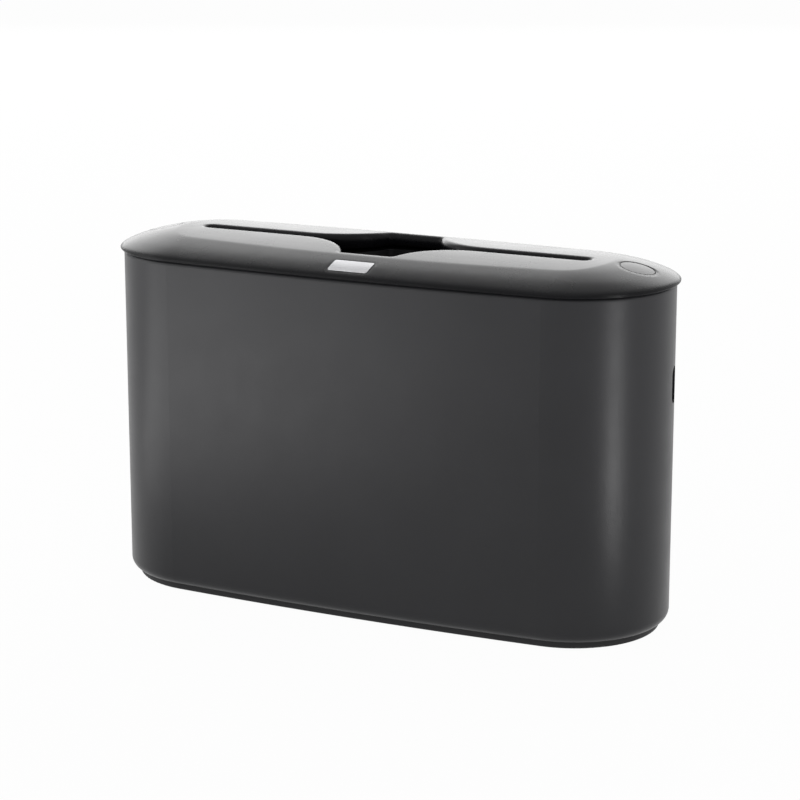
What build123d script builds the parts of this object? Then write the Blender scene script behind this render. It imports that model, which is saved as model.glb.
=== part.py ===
from build123d import *
from math import cos, pi, sin
import os

# A countertop dispenser for folded paper towels. An oval housing stands on a recessed
# plinth with rubber feet. A domed lid with a dispensing slot closes it, and two latches
# hold the lid until the round buttons at its ends are pressed. Inside, a platform on two
# sprung guide rods lifts the towels towards the slot.
# X runs along the long side, Y from front to back and Z up, from the middle of the
# footprint. Lengths are in millimetres.

os.makedirs("parts", exist_ok=True)

# Outline and heights
lid_length = 323.0
lid_depth = 116.0
side_bulge = 3.0
total_height = 198.2
lid_height = 11.1
lid_overhang = 2.0

# Clearances, the spare height of cuts, and how closely edges are picked
moving_gap = 0.3
running_gap = 0.05
screw_gap = 0.05
skirt_gap = 0.4
cut_spare = 5.0
pick_margin = 1.0

# Lid shell
lid_band = 0.8
lid_edge_radius = 0.6
lid_wall = 2.4
skirt_wall = 1.8
skirt_depth = 7.0
dome_reach = 36.0
dome_power = 1.35
dome_spare = 0.2
dome_steps = 8
crown_radius = 340.0

# Dispensing slot and mouth
slot_end_inset = 47.0
slot_width = 7.0
mouth_side_inset = 27.5
mouth_width = 31.0
mouth_flare = 52.0
mouth_corner = 2.5
lip_radius = 2.4
collar_wall = 3.2
collar_depth = 8.0

# Blank badge
badge_width = 23.0
badge_height = 10.0
badge_corner = 1.0
badge_inset = 10.0
badge_proud = 0.25
badge_seat = 0.7

# Throat frame under the lid
throat_end_border = 3.5
throat_side_inset = 16.0
throat_corner = 14.0
throat_thickness = 2.0
throat_rise = 0.2
throat_margin = 1.2
throat_lip = 1.4
throat_lip_depth = 3.0
throat_screw_end = 10.5
throat_screw_side = 8.0
throat_boss_radius = 3.6

# Screws and rivets
screw_radius = 1.5
screw_head_radius = 2.8
screw_head_height = 1.6
throat_screw_length = 7.0
base_screw_length = 11.0

# Buttons
button_inset = 20.5
button_radius = 8.9
button_travel = 3.0
button_gap = 0.5
button_flange = 1.0
flange_height = 1.2
cap_wall = 1.4
cap_depth = 4.7
stem_radius = 2.5
boss_wall = 1.3
seat_thickness = 1.5
button_spring_radius = 6.0
button_spring_wire = 0.4
button_spring_turns = 4

# Latches
pivot_inset = 37.5
pivot_drop = 7.0
pin_radius = 1.25
hub_radius = 3.0
latch_width = 16.0
latch_thickness = 2.4
nose_gap = 2.0
nose_reach = 7.0
nose_height = 3.0
nose_blunt = 1.2
ear_thickness = 2.0
ear_width = 7.0
bracket_roof_drop = 3.8
bracket_plate = 2.0
catch_drop = 16.1
catch_reach = 3.5
catch_height = 3.0
catch_width = 20.0

# Housing
body_bottom = 4.0
body_wall = 3.0
floor_thickness = 3.0
body_bottom_radius = 6.0
rim_radius = 2.2
sight_width = 10.0
sight_height = 20.0
sight_y = 11.5
sight_drop = 53.6

# Plinth and feet
plinth_inset = 5.0
plinth_radius = 1.0
foot_proud = 0.6
foot_radius = 8.0
foot_height = 2.0
foot_end_inset = 51.5
foot_side_inset = 28.0
base_screw_spacing = 26.0
base_screw_side_inset = 26.0
base_boss_radius = 4.0
base_boss_height = 10.0

# Towel magazine
liner_end_inset = 40.5
liner_side_inset = 14.0
liner_corner = 8.0
liner_wall = 1.6
arm_slot_bridge = 2.5

# Guide rods and their brackets
rod_gap = 7.4
rod_radius = 3.0
rod_end = 1.7
socket_radius = 6.0
socket_height = 6.0
rod_bracket_thickness = 3.0
rod_bracket_width = 36.0
rod_bracket_nose = 18.0
tab_thickness = 2.0
tab_height = 14.0
tab_width = 9.0
rivet_drop = 9.0

# Lift platform and springs
platform_drop = 19.1
platform_travel = 120.0
platform_gap = 2.0
platform_thickness = 2.4
platform_rim = 6.0
platform_rim_wall = 1.6
arm_width = 12.0
arm_height = 10.0
collar_radius = 6.0
rib_y = 24.0
rib_thickness = 2.0
lift_spring_radius = 4.7
lift_spring_wire = 0.6
lift_spring_turns = 16

# Worked out from the sizes above: lid and housing
end_radius = lid_depth / 2 - side_bulge
rim_height = total_height - lid_height
lid_edge = rim_height + moving_gap
dome_start = lid_edge + lid_band
skirt_inset = lid_overhang + body_wall + skirt_gap
hollow_inset = skirt_inset + skirt_wall
skirt_bottom = lid_edge - skirt_depth
above_lid = total_height + cut_spare
floor_top = body_bottom + floor_thickness
inner_end = lid_length / 2 - lid_overhang - body_wall
slot_length = lid_length - 2 * slot_end_inset
mouth_depth = lid_depth - 2 * mouth_side_inset
badge_y = badge_inset - lid_depth / 2
throat_length = slot_length + 2 * throat_end_border
throat_depth = lid_depth - 2 * throat_side_inset
throat_level = lid_edge + throat_rise
throat_screw_x = slot_length / 2 - throat_screw_end
throat_screw_y = throat_depth / 2 - throat_screw_side
sight_level = rim_height - sight_drop

# Worked out: latches, from the pivot to the nose and the catch
button_x = lid_length / 2 - button_inset
pivot_x = lid_length / 2 - pivot_inset
pivot_level = lid_edge - pivot_drop
nose_x = inner_end - nose_gap
leg_x = nose_x - nose_reach
bracket_roof = total_height - bracket_roof_drop
catch_level = lid_edge - catch_drop
nose_top = catch_level - moving_gap
nose_bottom = nose_top - nose_height
ear_inner = latch_width / 2 + moving_gap
ear_outer = ear_inner + ear_thickness
arm_top = pivot_level + latch_thickness / 2
arm_bottom = pivot_level - latch_thickness / 2

# Worked out: buttons, upwards from the latch's arm
stem_tip = arm_top + moving_gap
seat_bottom = stem_tip + moving_gap
seat_top = seat_bottom + seat_thickness
cap_bottom = seat_top + button_travel + moving_gap
cap_roof = cap_bottom + cap_depth
flange_radius = button_radius + button_flange
bore_radius = flange_radius + moving_gap
boss_radius = bore_radius + boss_wall

# Worked out: plinth, magazine, rods and platform
foot_x = lid_length / 2 - foot_end_inset
foot_y = lid_depth / 2 - foot_side_inset
base_screw_x = foot_x - base_screw_spacing
base_screw_y = lid_depth / 2 - base_screw_side_inset
liner_length = lid_length - 2 * liner_end_inset
liner_depth = lid_depth - 2 * liner_side_inset
liner_end = liner_length / 2 + liner_wall
rod_x = liner_end + rod_gap
platform_level = rim_height - platform_drop
liner_top = platform_level + moving_gap + rod_bracket_thickness
socket_top = floor_top + socket_height
collar_bottom = platform_level - arm_height
arm_slot_bottom = collar_bottom - platform_travel - platform_gap
rivet_y = rod_bracket_width / 2 - tab_width / 2
rivet_level = liner_top - rivet_drop
screw_hole = screw_radius + screw_gap
head_hole = screw_head_radius + screw_gap
sides = (("left", -1), ("right", 1))


def oval(inset):
    """The lid's outline, four tangent arcs, drawn in by inset all round."""
    end_centre = lid_length / 2 - end_radius
    side_radius = (end_centre**2 + lid_depth**2 / 4 - end_radius**2) / (lid_depth - 2 * end_radius)
    side_centre = side_radius - lid_depth / 2
    end_share = (end_radius - inset) / (side_radius - end_radius)
    bend_x = end_centre * (1 + end_share)
    bend_y = side_centre * end_share
    tip_x = lid_length / 2 - inset
    side_y = lid_depth / 2 - inset
    with BuildSketch(Plane.XY) as outline:
        with BuildLine():
            ThreePointArc((bend_x, -bend_y), (tip_x, 0), (bend_x, bend_y))
            ThreePointArc((bend_x, bend_y), (0, side_y), (-bend_x, bend_y))
            ThreePointArc((-bend_x, bend_y), (-tip_x, 0), (-bend_x, -bend_y))
            ThreePointArc((-bend_x, -bend_y), (0, -side_y), (bend_x, -bend_y))
        make_face()
    return outline.sketch


def dome(inset, bottom, start, wall):
    """Build a block on the oval, domed above start and crowned from front to back."""
    rise = total_height - wall + dome_spare - start
    with BuildPart() as form:
        with BuildSketch(Plane.XY.offset(bottom)):
            add(oval(inset))
        extrude(amount=start - bottom)
        for step in range(dome_steps + 1):
            turn = pi / 2 * step / dome_steps
            reach = dome_reach * (1 - cos(turn) ** (2 / dome_power))
            height = rise * sin(turn) ** (2 / dome_power)
            with BuildSketch(Plane.XY.offset(start + height)):
                add(oval(inset + reach))
        loft()
        with BuildSketch(Plane.YZ):
            with Locations((0, total_height - crown_radius - wall)):
                Circle(crown_radius)
        extrude(amount=lid_length, both=True, mode=Mode.INTERSECT)
    return form.part


def mouth(margin):
    """The slot with its flared middle, widened by margin all round."""
    half_slot = slot_width / 2
    slot_end = slot_length / 2 - half_slot
    tip = (mouth_width / 2, mouth_depth / 2)
    with BuildSketch(Plane.XY) as opening:
        with BuildLine():
            Line((0, tip[1]), tip)
            TangentArc((mouth_flare, half_slot), tip, tangent=(-1, 0))
            Line((mouth_flare, half_slot), (slot_end, half_slot))
            CenterArc((slot_end, 0), half_slot, 0, 90)
            mirror(about=Plane.YZ)
            mirror(about=Plane.XZ)
        make_face()
        corners = opening.vertices().filter_by(
            lambda corner: abs(corner.X) > pick_margin and abs(corner.Y) > tip[1] - pick_margin
        )
        fillet(corners, mouth_corner)
        if margin > 0:
            offset(amount=margin, mode=Mode.REPLACE)
    return opening.sketch


def coil(x, low, high, radius, wire, turns):
    """Wind a spring about the upright line at x, between the seats low and high."""
    start = low + wire + moving_gap
    height = high - wire - moving_gap - start
    pitch = height / turns
    print(f"spring at x {x:.0f}: least gap between turns {pitch - 2 * wire:.2f} mm")
    with BuildPart() as spring:
        with BuildLine() as path:
            Helix(pitch, height, radius, center=(x, 0, start))
        with BuildSketch(Plane(origin=path.line @ 0, z_dir=path.line % 0)):
            Circle(wire)
        sweep(path=path.line, is_frenet=True)
    return spring.part


# Lid form shared by the shell, buttons and badge
with BuildPart() as lid_blank:
    add(dome(0, lid_edge, dome_start, 0))
    fillet(lid_blank.edges().group_by(Axis.Z)[0], lid_edge_radius)
    with BuildSketch(Plane.XY.offset(skirt_bottom)):
        add(oval(skirt_inset))
    extrude(amount=skirt_depth)

lid_hollow = dome(hollow_inset, skirt_bottom, dome_start, lid_wall)
badge_ceiling = lid_blank.part.moved(Location((0, 0, badge_proud)))
badge_floor = lid_blank.part.moved(Location((0, 0, -badge_seat)))

# Collar and bosses inside the lid, trimmed to the lid's form
with BuildPart() as lid_inside:
    with BuildSketch(Plane.XY.offset(total_height - collar_depth)):
        add(mouth(collar_wall))
    extrude(amount=above_lid - total_height + collar_depth)
    with BuildSketch(Plane.XY.offset(seat_bottom)):
        with Locations((-button_x, 0), (button_x, 0)):
            Circle(boss_radius)
    extrude(amount=above_lid - seat_bottom)
    with BuildSketch(Plane.XY.offset(throat_level)):
        with GridLocations(2 * throat_screw_x, 2 * throat_screw_y, 2, 2):
            Circle(throat_boss_radius)
    extrude(amount=above_lid - throat_level)
    add(lid_blank.part, mode=Mode.INTERSECT)

# Badge recess
with BuildPart() as badge_recess:
    with BuildSketch(Plane.XY.offset(lid_edge)):
        with Locations((0, badge_y)):
            RectangleRounded(badge_width + 2 * screw_gap, badge_height + 2 * screw_gap, badge_corner)
    extrude(amount=above_lid - lid_edge)
    add(badge_floor, mode=Mode.SUBTRACT)

# Lid shell
with BuildPart() as lid_shell:
    add(lid_blank.part)
    add(lid_hollow, mode=Mode.SUBTRACT)
    add(lid_inside.part)
    with BuildSketch(Plane.XY.offset(skirt_bottom)):
        add(mouth(0))
    extrude(amount=above_lid - skirt_bottom, mode=Mode.SUBTRACT)
    lip_edges = lid_shell.edges().filter_by(
        lambda edge: edge.center().Z > total_height - lip_radius
        and abs(edge.center().Y) < mouth_depth / 2 + pick_margin
        and abs(edge.center().X) < slot_length / 2 + pick_margin
    )
    fillet(lip_edges, lip_radius)
    with BuildSketch(Plane.XY.offset(seat_top)):
        with Locations((-button_x, 0), (button_x, 0)):
            Circle(bore_radius)
    extrude(amount=cap_bottom + flange_height + moving_gap - seat_top, mode=Mode.SUBTRACT)
    with BuildSketch(Plane.XY.offset(seat_top)):
        with Locations((-button_x, 0), (button_x, 0)):
            Circle(button_radius + button_gap)
    extrude(amount=above_lid - seat_top, mode=Mode.SUBTRACT)
    with BuildSketch(Plane.XY.offset(seat_bottom)):
        with Locations((-button_x, 0), (button_x, 0)):
            Circle(stem_radius + moving_gap)
    extrude(amount=seat_thickness, mode=Mode.SUBTRACT)
    with BuildSketch(Plane.XY.offset(throat_level)):
        with GridLocations(2 * throat_screw_x, 2 * throat_screw_y, 2, 2):
            Circle(screw_hole)
    extrude(amount=throat_screw_length - throat_thickness + screw_gap, mode=Mode.SUBTRACT)
    add(badge_recess.part, mode=Mode.SUBTRACT)
lid_shell.part.label = "lid_shell"
export_step(lid_shell.part, "parts/lid_shell.step")

# Blank badge plate
with BuildPart() as badge_plate:
    with BuildSketch(Plane.XY.offset(lid_edge)):
        with Locations((0, badge_y)):
            RectangleRounded(badge_width, badge_height, badge_corner)
    extrude(amount=above_lid - lid_edge)
    add(badge_ceiling, mode=Mode.INTERSECT)
    add(badge_floor, mode=Mode.SUBTRACT)
badge_plate.part.label = "badge_plate"
export_step(badge_plate.part, "parts/badge_plate.step")

# Throat frame
with BuildPart() as throat_frame:
    with BuildSketch(Plane.XY.offset(throat_level - throat_thickness)):
        RectangleRounded(throat_length, throat_depth, throat_corner)
    extrude(amount=throat_thickness)
    with BuildSketch(Plane.XY.offset(throat_level - throat_thickness - throat_lip_depth)):
        add(mouth(throat_margin + throat_lip))
    extrude(amount=throat_lip_depth)
    with BuildSketch(Plane.XY.offset(throat_level - throat_thickness - throat_lip_depth)):
        add(mouth(throat_margin))
    extrude(amount=throat_lip_depth + throat_thickness, mode=Mode.SUBTRACT)
    with BuildSketch(Plane.XY.offset(throat_level)):
        with GridLocations(2 * throat_screw_x, 2 * throat_screw_y, 2, 2):
            Circle(screw_hole)
    extrude(amount=-throat_thickness, mode=Mode.SUBTRACT)
throat_frame.part.label = "throat_frame"
export_step(throat_frame.part, "parts/throat_frame.step")

# Throat frame screws
with BuildPart() as throat_frame_screws:
    with BuildSketch(Plane.XY.offset(throat_level - throat_thickness)):
        with GridLocations(2 * throat_screw_x, 2 * throat_screw_y, 2, 2):
            Circle(screw_head_radius)
    extrude(amount=-screw_head_height)
    with BuildSketch(Plane.XY.offset(throat_level - throat_thickness)):
        with GridLocations(2 * throat_screw_x, 2 * throat_screw_y, 2, 2):
            Circle(screw_radius)
    extrude(amount=throat_screw_length)
throat_frame_screws.part.label = "throat_frame_screws"
export_step(throat_frame_screws.part, "parts/throat_frame_screws.step")

for side_name, side in sides:
    # Push button: a cap with a flange that keeps it in the lid, and a stem on the latch
    with BuildPart() as button:
        with BuildSketch(Plane.XY.offset(cap_bottom)):
            with Locations((side * button_x, 0)):
                Circle(button_radius)
        extrude(amount=above_lid - cap_bottom)
        add(lid_blank.part, mode=Mode.INTERSECT)
        with BuildSketch(Plane.XY.offset(cap_bottom)):
            with Locations((side * button_x, 0)):
                Circle(flange_radius)
        extrude(amount=flange_height)
        with BuildSketch(Plane.XY.offset(cap_bottom)):
            with Locations((side * button_x, 0)):
                Circle(button_radius - cap_wall)
        extrude(amount=cap_roof - cap_bottom, mode=Mode.SUBTRACT)
        with BuildSketch(Plane.XY.offset(stem_tip)):
            with Locations((side * button_x, 0)):
                Circle(stem_radius)
        extrude(amount=cap_roof - stem_tip)
    button.part.label = f"button_{side_name}"
    export_step(button.part, f"parts/button_{side_name}.step")

    # Button spring between the lid's seat and the cap's roof
    button_spring = coil(
        side * button_x, seat_top, cap_roof, button_spring_radius, button_spring_wire, button_spring_turns
    )
    button_spring.label = f"button_spring_{side_name}"
    export_step(button_spring, f"parts/button_spring_{side_name}.step")

    # Latch lever: hub, arm under the stem, leg and hooked nose under the housing's catch
    with BuildPart() as latch:
        with BuildSketch(Plane.XZ):
            with BuildLine():
                Polyline(
                    (side * pivot_x, arm_top),
                    (side * leg_x, arm_top),
                    (side * leg_x, nose_top),
                    (side * nose_x, nose_top),
                    (side * nose_x, nose_top - nose_blunt),
                    (side * leg_x, nose_bottom),
                    (side * (leg_x - latch_thickness), nose_bottom),
                    (side * (leg_x - latch_thickness), arm_bottom),
                    (side * pivot_x, arm_bottom),
                    close=True,
                )
            make_face()
            with Locations((side * pivot_x, pivot_level)):
                Circle(hub_radius)
                Circle(pin_radius + running_gap, mode=Mode.SUBTRACT)
        extrude(amount=latch_width / 2, both=True)
    latch.part.label = f"latch_{side_name}"
    export_step(latch.part, f"parts/latch_{side_name}.step")

    # Latch bracket: a plate under the lid's roof with two ears for the pin
    with BuildPart() as latch_bracket:
        with BuildSketch(Plane.XZ):
            with Locations((side * pivot_x, (pivot_level + bracket_roof) / 2)):
                Rectangle(ear_width, bracket_roof - pivot_level)
            with Locations((side * pivot_x, pivot_level)):
                Circle(ear_width / 2)
        extrude(amount=ear_outer, both=True)
        with BuildSketch(Plane.XZ):
            with Locations((side * pivot_x, pivot_level)):
                Circle(pin_radius + running_gap)
        extrude(amount=ear_outer, both=True, mode=Mode.SUBTRACT)
        with BuildSketch(Plane.XY.offset(pivot_level - ear_width)):
            with Locations((side * pivot_x, 0)):
                Rectangle(2 * ear_width, 2 * ear_inner)
        extrude(amount=bracket_roof - bracket_plate - pivot_level + ear_width, mode=Mode.SUBTRACT)
    latch_bracket.part.label = f"latch_bracket_{side_name}"
    export_step(latch_bracket.part, f"parts/latch_bracket_{side_name}.step")

    # Latch pin, from ear to ear
    with BuildPart() as latch_pin:
        with BuildSketch(Plane.XZ):
            with Locations((side * pivot_x, pivot_level)):
                Circle(pin_radius)
        extrude(amount=ear_outer, both=True)
    latch_pin.part.label = f"latch_pin_{side_name}"
    export_step(latch_pin.part, f"parts/latch_pin_{side_name}.step")

    # Guide rod from the floor socket to its bracket
    with BuildPart() as guide_rod:
        with BuildSketch(Plane.XY.offset(floor_top)):
            with Locations((side * rod_x, 0)):
                Circle(rod_radius)
        extrude(amount=liner_top + rod_end - floor_top)
    guide_rod.part.label = f"guide_rod_{side_name}"
    export_step(guide_rod.part, f"parts/guide_rod_{side_name}.step")

    # Rod bracket on the liner's end wall
    with BuildPart() as rod_bracket:
        with BuildSketch(Plane.XY.offset(liner_top - rod_bracket_thickness)):
            with Locations((side * (liner_end + tab_thickness / 2), 0)):
                Rectangle(tab_thickness, rod_bracket_width)
            with Locations((side * (liner_end + rod_x) / 2, 0)):
                Rectangle(rod_x - liner_end, rod_bracket_nose)
            with Locations((side * rod_x, 0)):
                Circle(rod_bracket_nose / 2)
                Circle(rod_radius + running_gap, mode=Mode.SUBTRACT)
            with Locations((side * liner_end / 2, 0)):
                Rectangle(liner_end, rod_bracket_width, mode=Mode.SUBTRACT)
        extrude(amount=rod_bracket_thickness)
        with BuildSketch(Plane.XY.offset(liner_top - tab_height)):
            with Locations(
                (side * (liner_end + tab_thickness / 2), -rivet_y),
                (side * (liner_end + tab_thickness / 2), rivet_y),
            ):
                Rectangle(tab_thickness, tab_width)
        extrude(amount=tab_height - rod_bracket_thickness)
        with BuildSketch(Plane.YZ.offset(side * liner_end)):
            with Locations((-rivet_y, rivet_level), (rivet_y, rivet_level)):
                Circle(screw_hole)
        extrude(amount=side * tab_thickness, mode=Mode.SUBTRACT)
    rod_bracket.part.label = f"rod_bracket_{side_name}"
    export_step(rod_bracket.part, f"parts/rod_bracket_{side_name}.step")

    # Lift spring round the rod, from the socket to the platform's collar
    lift_spring = coil(
        side * rod_x, socket_top, collar_bottom, lift_spring_radius, lift_spring_wire, lift_spring_turns
    )
    lift_spring.label = f"lift_spring_{side_name}"
    export_step(lift_spring, f"parts/lift_spring_{side_name}.step")

# Rivets that hold the rod brackets on the liner
with BuildPart() as bracket_rivets:
    for side_name, side in sides:
        with BuildSketch(Plane.YZ.offset(side * (liner_end + tab_thickness))):
            with Locations((-rivet_y, rivet_level), (rivet_y, rivet_level)):
                Circle(screw_head_radius)
        extrude(amount=side * screw_head_height)
        with BuildSketch(Plane.YZ.offset(side * (liner_end + tab_thickness))):
            with Locations((-rivet_y, rivet_level), (rivet_y, rivet_level)):
                Circle(screw_radius)
        extrude(amount=-side * (tab_thickness + liner_wall))
bracket_rivets.part.label = "bracket_rivets"
export_step(bracket_rivets.part, "parts/bracket_rivets.step")

# Housing
with BuildPart() as body_shell:
    with BuildSketch(Plane.XY.offset(body_bottom)):
        add(oval(lid_overhang))
    extrude(amount=rim_height - body_bottom)
    fillet(body_shell.edges().group_by(Axis.Z)[0], body_bottom_radius)
    fillet(body_shell.edges().group_by(Axis.Z)[-1], rim_radius)
    with BuildSketch(Plane.XY.offset(floor_top)):
        add(oval(lid_overhang + body_wall))
    extrude(amount=rim_height - floor_top, mode=Mode.SUBTRACT)
    with BuildSketch(Plane.XY.offset(catch_level)):
        with Locations((-inner_end, 0), (inner_end, 0)):
            Rectangle(2 * catch_reach, catch_width)
        add(oval(lid_overhang + body_wall / 2), mode=Mode.INTERSECT)
    extrude(amount=catch_height)
    with BuildSketch(Plane.XY.offset(floor_top)):
        with Locations((-rod_x, 0), (rod_x, 0)):
            Circle(socket_radius)
            Circle(rod_radius + running_gap, mode=Mode.SUBTRACT)
    extrude(amount=socket_height)
    with BuildSketch(Plane.XY.offset(floor_top)):
        with GridLocations(2 * base_screw_x, 2 * base_screw_y, 2, 2):
            Circle(base_boss_radius)
    extrude(amount=base_boss_height)
    with BuildSketch(Plane.XY.offset(body_bottom)):
        with GridLocations(2 * base_screw_x, 2 * base_screw_y, 2, 2):
            Circle(screw_hole)
    extrude(amount=base_screw_length, mode=Mode.SUBTRACT)
    with BuildSketch(Plane.YZ.offset(inner_end - catch_reach)):
        with Locations((sight_y, sight_level)):
            SlotOverall(sight_height, sight_width, rotation=90)
    extrude(amount=lid_length / 2, mode=Mode.SUBTRACT)
body_shell.part.label = "body_shell"
export_step(body_shell.part, "parts/body_shell.step")

# Plinth
with BuildPart() as base_plate:
    with BuildSketch(Plane.XY.offset(foot_proud)):
        add(oval(lid_overhang + plinth_inset))
    extrude(amount=body_bottom - foot_proud)
    fillet(base_plate.edges().group_by(Axis.Z)[0], plinth_radius)
    with BuildSketch(Plane.XY.offset(foot_proud)):
        with GridLocations(2 * foot_x, 2 * foot_y, 2, 2):
            Circle(foot_radius + screw_gap)
    extrude(amount=foot_height - foot_proud, mode=Mode.SUBTRACT)
    with BuildSketch(Plane.XY.offset(foot_proud)):
        with GridLocations(2 * base_screw_x, 2 * base_screw_y, 2, 2):
            Circle(head_hole)
    extrude(amount=screw_head_height, mode=Mode.SUBTRACT)
    with BuildSketch(Plane.XY.offset(foot_proud)):
        with GridLocations(2 * base_screw_x, 2 * base_screw_y, 2, 2):
            Circle(screw_hole)
    extrude(amount=body_bottom - foot_proud, mode=Mode.SUBTRACT)
base_plate.part.label = "base_plate"
export_step(base_plate.part, "parts/base_plate.step")

# Plinth screws
with BuildPart() as base_screws:
    with BuildSketch(Plane.XY.offset(foot_proud)):
        with GridLocations(2 * base_screw_x, 2 * base_screw_y, 2, 2):
            Circle(screw_head_radius)
    extrude(amount=screw_head_height)
    with BuildSketch(Plane.XY.offset(foot_proud + screw_head_height)):
        with GridLocations(2 * base_screw_x, 2 * base_screw_y, 2, 2):
            Circle(screw_radius)
    extrude(amount=base_screw_length)
base_screws.part.label = "base_screws"
export_step(base_screws.part, "parts/base_screws.step")

# Rubber feet
with BuildPart() as rubber_feet:
    with BuildSketch():
        with GridLocations(2 * foot_x, 2 * foot_y, 2, 2):
            Circle(foot_radius)
    extrude(amount=foot_height)
rubber_feet.part.label = "rubber_feet"
export_step(rubber_feet.part, "parts/rubber_feet.step")

# Magazine liner with slots for the platform's arms and a sight opening
with BuildPart() as magazine_liner:
    with BuildSketch(Plane.XY.offset(floor_top)):
        RectangleRounded(2 * liner_end, liner_depth + 2 * liner_wall, liner_corner + liner_wall)
        RectangleRounded(liner_length, liner_depth, liner_corner, mode=Mode.SUBTRACT)
    extrude(amount=liner_top - floor_top)
    arm_slot_top = liner_top - arm_slot_bridge
    with BuildSketch(Plane.YZ):
        with Locations((0, (arm_slot_bottom + arm_slot_top) / 2)):
            RectangleRounded(arm_width + platform_gap, arm_slot_top - arm_slot_bottom, screw_radius)
    extrude(amount=lid_length / 2, both=True, mode=Mode.SUBTRACT)
    with BuildSketch(Plane.YZ):
        with Locations((sight_y, sight_level)):
            SlotOverall(sight_height, sight_width, rotation=90)
    extrude(amount=lid_length / 2, mode=Mode.SUBTRACT)
    with BuildSketch(Plane.YZ):
        with Locations((-rivet_y, rivet_level), (rivet_y, rivet_level)):
            Circle(screw_hole)
    extrude(amount=lid_length / 2, both=True, mode=Mode.SUBTRACT)
magazine_liner.part.label = "magazine_liner"
export_step(magazine_liner.part, "parts/magazine_liner.step")

# Lift platform with a stiffening rim, ribs, and arms that end in collars on the rods
platform_length = liner_length - 2 * platform_gap
platform_depth = liner_depth - 2 * platform_gap
platform_corner = liner_corner - platform_gap
with BuildPart() as lift_plate:
    with BuildSketch(Plane.XY.offset(platform_level - platform_thickness)):
        RectangleRounded(platform_length, platform_depth, platform_corner)
    extrude(amount=platform_thickness)
    with BuildSketch(Plane.XY.offset(platform_level - platform_thickness)):
        RectangleRounded(platform_length, platform_depth, platform_corner)
        RectangleRounded(
            platform_length - 2 * platform_rim_wall,
            platform_depth - 2 * platform_rim_wall,
            platform_corner - platform_rim_wall,
            mode=Mode.SUBTRACT,
        )
        with Locations((0, -rib_y), (0, rib_y)):
            Rectangle(platform_length - platform_rim_wall, rib_thickness)
    extrude(amount=-platform_rim)
    with BuildSketch(Plane.XY.offset(platform_level)):
        with Locations((-rod_x, 0), (rod_x, 0)):
            Circle(collar_radius)
        with Locations((-(rod_x + platform_length / 2) / 2, 0), ((rod_x + platform_length / 2) / 2, 0)):
            Rectangle(rod_x - platform_length / 2 + 2 * platform_rim_wall, arm_width)
    extrude(amount=-arm_height)
    with BuildSketch(Plane.XY.offset(platform_level)):
        with Locations((-rod_x, 0), (rod_x, 0)):
            Circle(rod_radius + running_gap)
    extrude(amount=-arm_height, mode=Mode.SUBTRACT)
lift_plate.part.label = "lift_plate"
export_step(lift_plate.part, "parts/lift_plate.step")
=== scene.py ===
import math

import bpy
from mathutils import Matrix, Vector

# A countertop paper towel dispenser, dressed and lit as in a white studio. The pieces come
# from the frame, and this script gives them their materials, the floor, the lamps and the
# camera. Lengths are in metres and angles in degrees.

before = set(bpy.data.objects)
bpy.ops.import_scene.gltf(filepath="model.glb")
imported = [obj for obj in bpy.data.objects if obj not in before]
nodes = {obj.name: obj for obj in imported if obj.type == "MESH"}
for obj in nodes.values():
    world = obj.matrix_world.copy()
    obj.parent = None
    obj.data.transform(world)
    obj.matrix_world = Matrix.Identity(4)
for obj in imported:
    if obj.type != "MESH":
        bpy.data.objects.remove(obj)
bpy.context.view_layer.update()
scene = bpy.context.scene

# Camera, with its lens and sensor in millimetres
CAMERA_AZIMUTH = 26.14
CAMERA_ELEVATION = 13.88
CAMERA_PLACE = (0.6018, -1.2162, 0.4458)
CAMERA_LENS = 115.31
SENSOR = 36.0
CLIP_NEAR = 0.05
CLIP_FAR = 100.0

# Plastics: base colour, roughness, specular level, grains per metre, grain depth
HOUSING = ((0.021, 0.021, 0.023), 0.34, 0.24, 2600.0, 0.00004)
LID = ((0.003, 0.003, 0.004), 0.27, 0.13, 1400.0, 0.000004)
BUTTON = ((0.004, 0.004, 0.005), 0.25, 0.14, 1800.0, 0.000006)
PLINTH = ((0.010, 0.010, 0.011), 0.55, 0.30, 2200.0, 0.00005)
INNER = ((0.008, 0.008, 0.009), 0.50, 0.30, 2200.0, 0.00004)
PLATFORM = ((0.075, 0.075, 0.080), 0.45, 0.40, 2200.0, 0.00004)
LATCH = ((0.62, 0.60, 0.55), 0.38, 0.50, 2600.0, 0.00003)

# Uneven gloss of moulded and of polished plastic, and the dust on both
MOULDED_SPREAD = 0.05
POLISHED_SPREAD = 0.02
GLOSS_PATCHES = 60.0
DUST_CLOUDS = 22.0
DUST_SHARE = 0.12
DUST_TINT = 0.004

# Width over which the lid's crease is shaded, and the samples it takes
LID_CREASE = 0.004
EDGE_SAMPLES = 8

# Metals: base colour, roughness, and lines per metre along X, Y and Z
BADGE_METAL = ((0.38, 0.38, 0.39), 0.30, (60.0, 4000.0, 4000.0))
STEEL = ((0.55, 0.55, 0.56), 0.28, (1500.0, 1500.0, 40.0))
SPRING_STEEL = ((0.42, 0.42, 0.44), 0.32, (900.0, 900.0, 900.0))
METAL_SPREAD = 0.16
LINE_DEPTH = 0.00002

# Rubber: colour, range of roughness, patches and pits per metre, pit depth
RUBBER_COLOUR = (0.012, 0.012, 0.012, 1.0)
RUBBER_ROUGH = (0.75, 0.95)
RUBBER_PATCHES = 300.0
RUBBER_PITS = 1800.0
PIT_DEPTH = 0.00008

# Noise: octaves of each kind, and the part of its values that is used
CLOUD_DETAIL = 5.0
GLOSS_DETAIL = 4.0
LINE_DETAIL = 3.0
GRAIN_DETAIL = 2.0
NOISE_USED = (0.3, 0.7)

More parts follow.
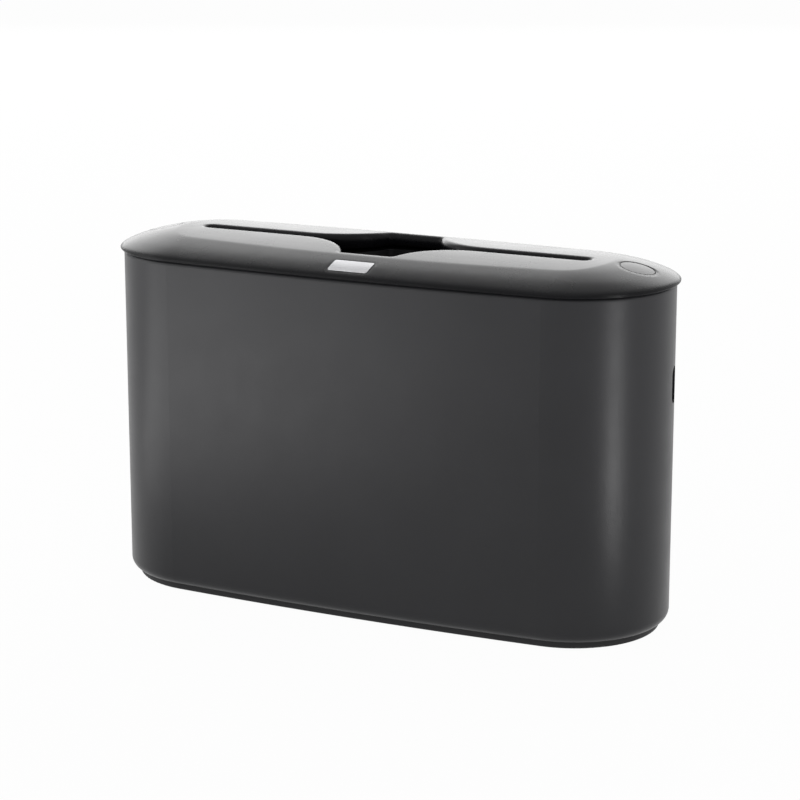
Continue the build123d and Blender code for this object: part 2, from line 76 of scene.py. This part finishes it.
# Room: the floor, the share of white seen on it, and brightness against height
FLOOR_SIZE = 30.0
FLOOR_WHITE = 0.86
FLOOR_ROUGH = 0.9
SEEN_WHITE = 0.97
ROOM_STEPS = ((0.0, 0.95), (0.35, 0.85), (0.55, 0.35), (1.0, 0.30))

# Floor panels: name, start, azimuth, nearest and furthest distance, width, radiance
PANEL_HEIGHT = 0.005
PANELS = (
    ("left_panel", (-0.02, -0.12), -52.0, 0.26, 1.10, 0.55, 3.7),
    ("right_panel", (0.146, -0.035), 70.0, 0.20, 0.95, 0.07, 13.0),
)

# Softboxes: name, azimuth, elevation, distance, width, height, radiance
LAMP_TARGET = Vector((0.0, 0.0, 0.1))
SOFTBOXES = (
    ("left_softbox", -62.0, 20.0, 1.3, 0.9, 1.0, 1.4),
    ("right_softbox", 72.0, 18.0, 0.47, 0.05, 0.50, 2.4),
    ("back_softbox", -154.0, 22.0, 3.0, 4.0, 2.2, 2.0),
    ("top_softbox", 0.0, 80.0, 2.2, 1.2, 0.8, 0.4),
)


def noise(tree, place, scale, detail):
    """A noise texture in the object's own metres."""
    texture = tree.nodes.new("ShaderNodeTexNoise")
    texture.inputs["Scale"].default_value = scale
    texture.inputs["Detail"].default_value = detail
    tree.links.new(place, texture.inputs["Vector"])
    return texture.outputs["Fac"]


def ranged(tree, value, low, high):
    """Map the middle of a noise value to the range low to high."""
    mapped = tree.nodes.new("ShaderNodeMapRange")
    mapped.inputs["From Min"].default_value = NOISE_USED[0]
    mapped.inputs["From Max"].default_value = NOISE_USED[1]
    mapped.inputs["To Min"].default_value = low
    mapped.inputs["To Max"].default_value = high
    tree.links.new(value, mapped.inputs["Value"])
    return mapped.outputs["Result"]


def spread(tree, value, middle, width):
    """Map a noise value to a range of a width about its middle."""
    return ranged(tree, value, middle - width / 2, middle + width / 2)


def start_material(name):
    """A new material with its node tree and surface shader."""
    material = bpy.data.materials.new(name)
    material.use_nodes = True
    return material, material.node_tree, material.node_tree.nodes["Principled BSDF"]


def object_place(tree):
    """The object's own coordinates."""
    return tree.nodes.new("ShaderNodeTexCoord").outputs["Object"]


def add_bump(tree, surface, height, depth, soft_edge=0.0):
    """Raise the surface by a height value times depth, over edges shaded soft_edge wide."""
    bump = tree.nodes.new("ShaderNodeBump")
    if soft_edge > 0.0:
        bevel = tree.nodes.new("ShaderNodeBevel")
        bevel.samples = EDGE_SAMPLES
        bevel.inputs["Radius"].default_value = soft_edge
        tree.links.new(bevel.outputs["Normal"], bump.inputs["Normal"])
    bump.inputs["Distance"].default_value = depth
    tree.links.new(height, bump.inputs["Height"])
    tree.links.new(bump.outputs["Normal"], surface.inputs["Normal"])


def plastic(name, recipe, gloss_spread=MOULDED_SPREAD, soft_edge=0.0):
    """Moulded plastic: fine grain, uneven gloss and a faint film of dust."""
    colour, rough, specular, grain, depth = recipe
    material, tree, surface = start_material(name)
    place = object_place(tree)
    clouds = noise(tree, place, DUST_CLOUDS, CLOUD_DETAIL)
    mix = tree.nodes.new("ShaderNodeMix")
    mix.data_type = "RGBA"
    dusty = tuple(part * (1 + DUST_SHARE) + DUST_SHARE * DUST_TINT for part in colour)
    mix.inputs["A"].default_value = (*colour, 1.0)
    mix.inputs["B"].default_value = (*dusty, 1.0)
    tree.links.new(ranged(tree, clouds, 0.0, 1.0), mix.inputs["Factor"])
    tree.links.new(mix.outputs["Result"], surface.inputs["Base Color"])
    gloss = noise(tree, place, GLOSS_PATCHES, GLOSS_DETAIL)
    tree.links.new(spread(tree, gloss, rough, gloss_spread), surface.inputs["Roughness"])
    surface.inputs["Specular IOR Level"].default_value = specular
    add_bump(tree, surface, noise(tree, place, grain, GRAIN_DETAIL), depth, soft_edge)
    return material


def metal(name, recipe):
    """Drawn or brushed metal, its fine lines stretched along one axis."""
    colour, rough, stretch = recipe
    material, tree, surface = start_material(name)
    mapping = tree.nodes.new("ShaderNodeMapping")
    mapping.inputs["Scale"].default_value = stretch
    tree.links.new(object_place(tree), mapping.inputs["Vector"])
    lines = noise(tree, mapping.outputs["Vector"], 1.0, LINE_DETAIL)
    surface.inputs["Base Color"].default_value = (*colour, 1.0)
    surface.inputs["Metallic"].default_value = 1.0
    tree.links.new(spread(tree, lines, rough, METAL_SPREAD), surface.inputs["Roughness"])
    add_bump(tree, surface, lines, LINE_DEPTH)
    return material


def rubber(name):
    """Matte black rubber with a coarse, slightly pitted grain."""
    material, tree, surface = start_material(name)
    place = object_place(tree)
    surface.inputs["Base Color"].default_value = RUBBER_COLOUR
    patches = noise(tree, place, RUBBER_PATCHES, LINE_DETAIL)
    tree.links.new(ranged(tree, patches, *RUBBER_ROUGH), surface.inputs["Roughness"])
    add_bump(tree, surface, noise(tree, place, RUBBER_PITS, LINE_DETAIL), PIT_DEPTH)
    return material


def dress(names, material):
    """Give CAD pieces their material."""
    for name in names:
        piece = nodes[name]
        piece.data.materials.clear()
        piece.data.materials.append(material)


def pair(stem):
    """The left and right piece of a name."""
    return [stem + "_left", stem + "_right"]


def dress_all():
    """One material for each kind of piece."""
    inner = ["magazine_liner", "throat_frame"] + pair("rod_bracket") + pair("latch_bracket")
    steel = ["base_screws", "throat_frame_screws", "bracket_rivets"] + pair("guide_rod") + pair("latch_pin")
    dress(["body_shell"], plastic("housing_plastic", HOUSING))
    dress(["lid_shell"], plastic("lid_plastic", LID, POLISHED_SPREAD, LID_CREASE))
    dress(pair("button"), plastic("button_plastic", BUTTON, POLISHED_SPREAD))
    dress(["base_plate"], plastic("plinth_plastic", PLINTH))
    dress(inner, plastic("inner_plastic", INNER))
    dress(["lift_plate"], plastic("platform_plastic", PLATFORM))
    dress(pair("latch"), plastic("latch_plastic", LATCH))
    dress(["rubber_feet"], rubber("foot_rubber"))
    dress(["badge_plate"], metal("badge_metal", BADGE_METAL))
    dress(steel, metal("steel", STEEL))
    dress(pair("lift_spring") + pair("button_spring"), metal("spring_steel", SPRING_STEEL))


def seen_share(tree, share):
    """A mix factor of share for what the camera, gloss and glass see, and 0 for other light."""
    rays = tree.nodes.new("ShaderNodeLightPath")
    seen = rays.outputs["Is Camera Ray"]
    for kind in ("Is Glossy Ray", "Is Transmission Ray"):
        either = tree.nodes.new("ShaderNodeMath")
        either.operation = "MAXIMUM"
        tree.links.new(seen, either.inputs[0])
        tree.links.new(rays.outputs[kind], either.inputs[1])
        seen = either.outputs["Value"]
    part = tree.nodes.new("ShaderNodeMath")
    part.operation = "MULTIPLY"
    part.inputs[1].default_value = share
    tree.links.new(seen, part.inputs[0])
    return part.outputs["Value"]


def make_floor():
    """A wide pale floor that keeps the object's soft shadow."""
    bpy.ops.mesh.primitive_plane_add(size=FLOOR_SIZE)
    floor = bpy.context.object
    floor.name = "floor"
    material, tree, surface = start_material("floor")
    surface.inputs["Base Color"].default_value = (FLOOR_WHITE, FLOOR_WHITE, FLOOR_WHITE, 1.0)
    surface.inputs["Roughness"].default_value = FLOOR_ROUGH
    surface.inputs["Specular IOR Level"].default_value = 0.0
    glow = tree.nodes.new("ShaderNodeEmission")
    mix = tree.nodes.new("ShaderNodeMixShader")
    tree.links.new(seen_share(tree, SEEN_WHITE), mix.inputs["Fac"])
    tree.links.new(surface.outputs["BSDF"], mix.inputs[1])
    tree.links.new(glow.outputs["Emission"], mix.inputs[2])
    tree.links.new(mix.outputs["Shader"], tree.nodes["Material Output"].inputs["Surface"])
    floor.data.materials.append(material)


def make_world():
    """White where it is seen, and a soft room with a dim ceiling for the light it gives."""
    world = bpy.data.worlds.new("studio")
    scene.world = world
    world.use_nodes = True
    tree = world.node_tree
    tree.nodes.clear()
    place = tree.nodes.new("ShaderNodeTexCoord")
    parts = tree.nodes.new("ShaderNodeSeparateXYZ")
    ramp = tree.nodes.new("ShaderNodeValToRGB")
    while len(ramp.color_ramp.elements) < len(ROOM_STEPS):
        ramp.color_ramp.elements.new(1.0)
    for element, (height, level) in zip(ramp.color_ramp.elements, ROOM_STEPS):
        element.position = height
        element.color = (level, level, level, 1.0)
    room = tree.nodes.new("ShaderNodeBackground")
    white = tree.nodes.new("ShaderNodeBackground")
    white.inputs["Color"].default_value = (1.0, 1.0, 1.0, 1.0)
    mix = tree.nodes.new("ShaderNodeMixShader")
    out = tree.nodes.new("ShaderNodeOutputWorld")
    tree.links.new(place.outputs["Generated"], parts.inputs["Vector"])
    tree.links.new(parts.outputs["Z"], ramp.inputs["Fac"])
    tree.links.new(ramp.outputs["Color"], room.inputs["Color"])
    tree.links.new(seen_share(tree, 1.0), mix.inputs["Fac"])
    tree.links.new(room.outputs["Background"], mix.inputs[1])
    tree.links.new(white.outputs["Background"], mix.inputs[2])
    tree.links.new(mix.outputs["Shader"], out.inputs["Surface"])


def towards(azimuth, elevation):
    """The direction of an azimuth and elevation, with azimuth 0 in front."""
    turn, lift = math.radians(azimuth), math.radians(elevation)
    return Vector((math.sin(turn) * math.cos(lift), -math.cos(turn) * math.cos(lift), math.sin(lift)))


def area_lamp(name, width, height, radiance):
    """A rectangular lamp that the camera doesn't see."""
    lamp = bpy.data.lights.new(name, "AREA")
    lamp.shape = "RECTANGLE"
    lamp.size = width
    lamp.size_y = height
    lamp.energy = radiance * width * height * math.pi
    made = bpy.data.objects.new(name, lamp)
    made.visible_camera = False
    scene.collection.objects.link(made)
    return made


def softbox(name, azimuth, elevation, distance, width, height, radiance):
    """A soft area lamp that faces the object."""
    away = towards(azimuth, elevation)
    made = area_lamp(name, width, height, radiance)
    made.location = LAMP_TARGET + away * distance
    made.rotation_mode = "QUATERNION"
    made.rotation_quaternion = away.to_track_quat("Z", "Y")


def floor_panel(name, start, azimuth, near, far, width, radiance):
    """A light panel on the floor that faces up and runs away from a start along an azimuth."""
    made = area_lamp(name, width, far - near, radiance)
    made.location = Vector((*start, PANEL_HEIGHT)) + towards(azimuth, 0.0) * (near + far) / 2
    made.rotation_euler = (math.pi, 0.0, math.radians(azimuth))


def make_lamps():
    """Panels and softboxes for the walls, one softbox behind for the lid, and one above."""
    for panel in PANELS:
        floor_panel(*panel)
    for box in SOFTBOXES:
        softbox(*box)


def make_camera():
    """The camera at the photograph's place and angle."""
    data = bpy.data.cameras.new("camera")
    data.lens = CAMERA_LENS
    data.sensor_width = SENSOR
    data.clip_start = CLIP_NEAR
    data.clip_end = CLIP_FAR
    camera = bpy.data.objects.new("camera", data)
    camera.location = CAMERA_PLACE
    camera.rotation_mode = "QUATERNION"
    camera.rotation_quaternion = (-towards(CAMERA_AZIMUTH, CAMERA_ELEVATION)).to_track_quat("-Z", "Y")
    scene.collection.objects.link(camera)
    scene.camera = camera


dress_all()
make_floor()
make_world()
make_lamps()
make_camera()
scene.view_settings.view_transform = "Standard"
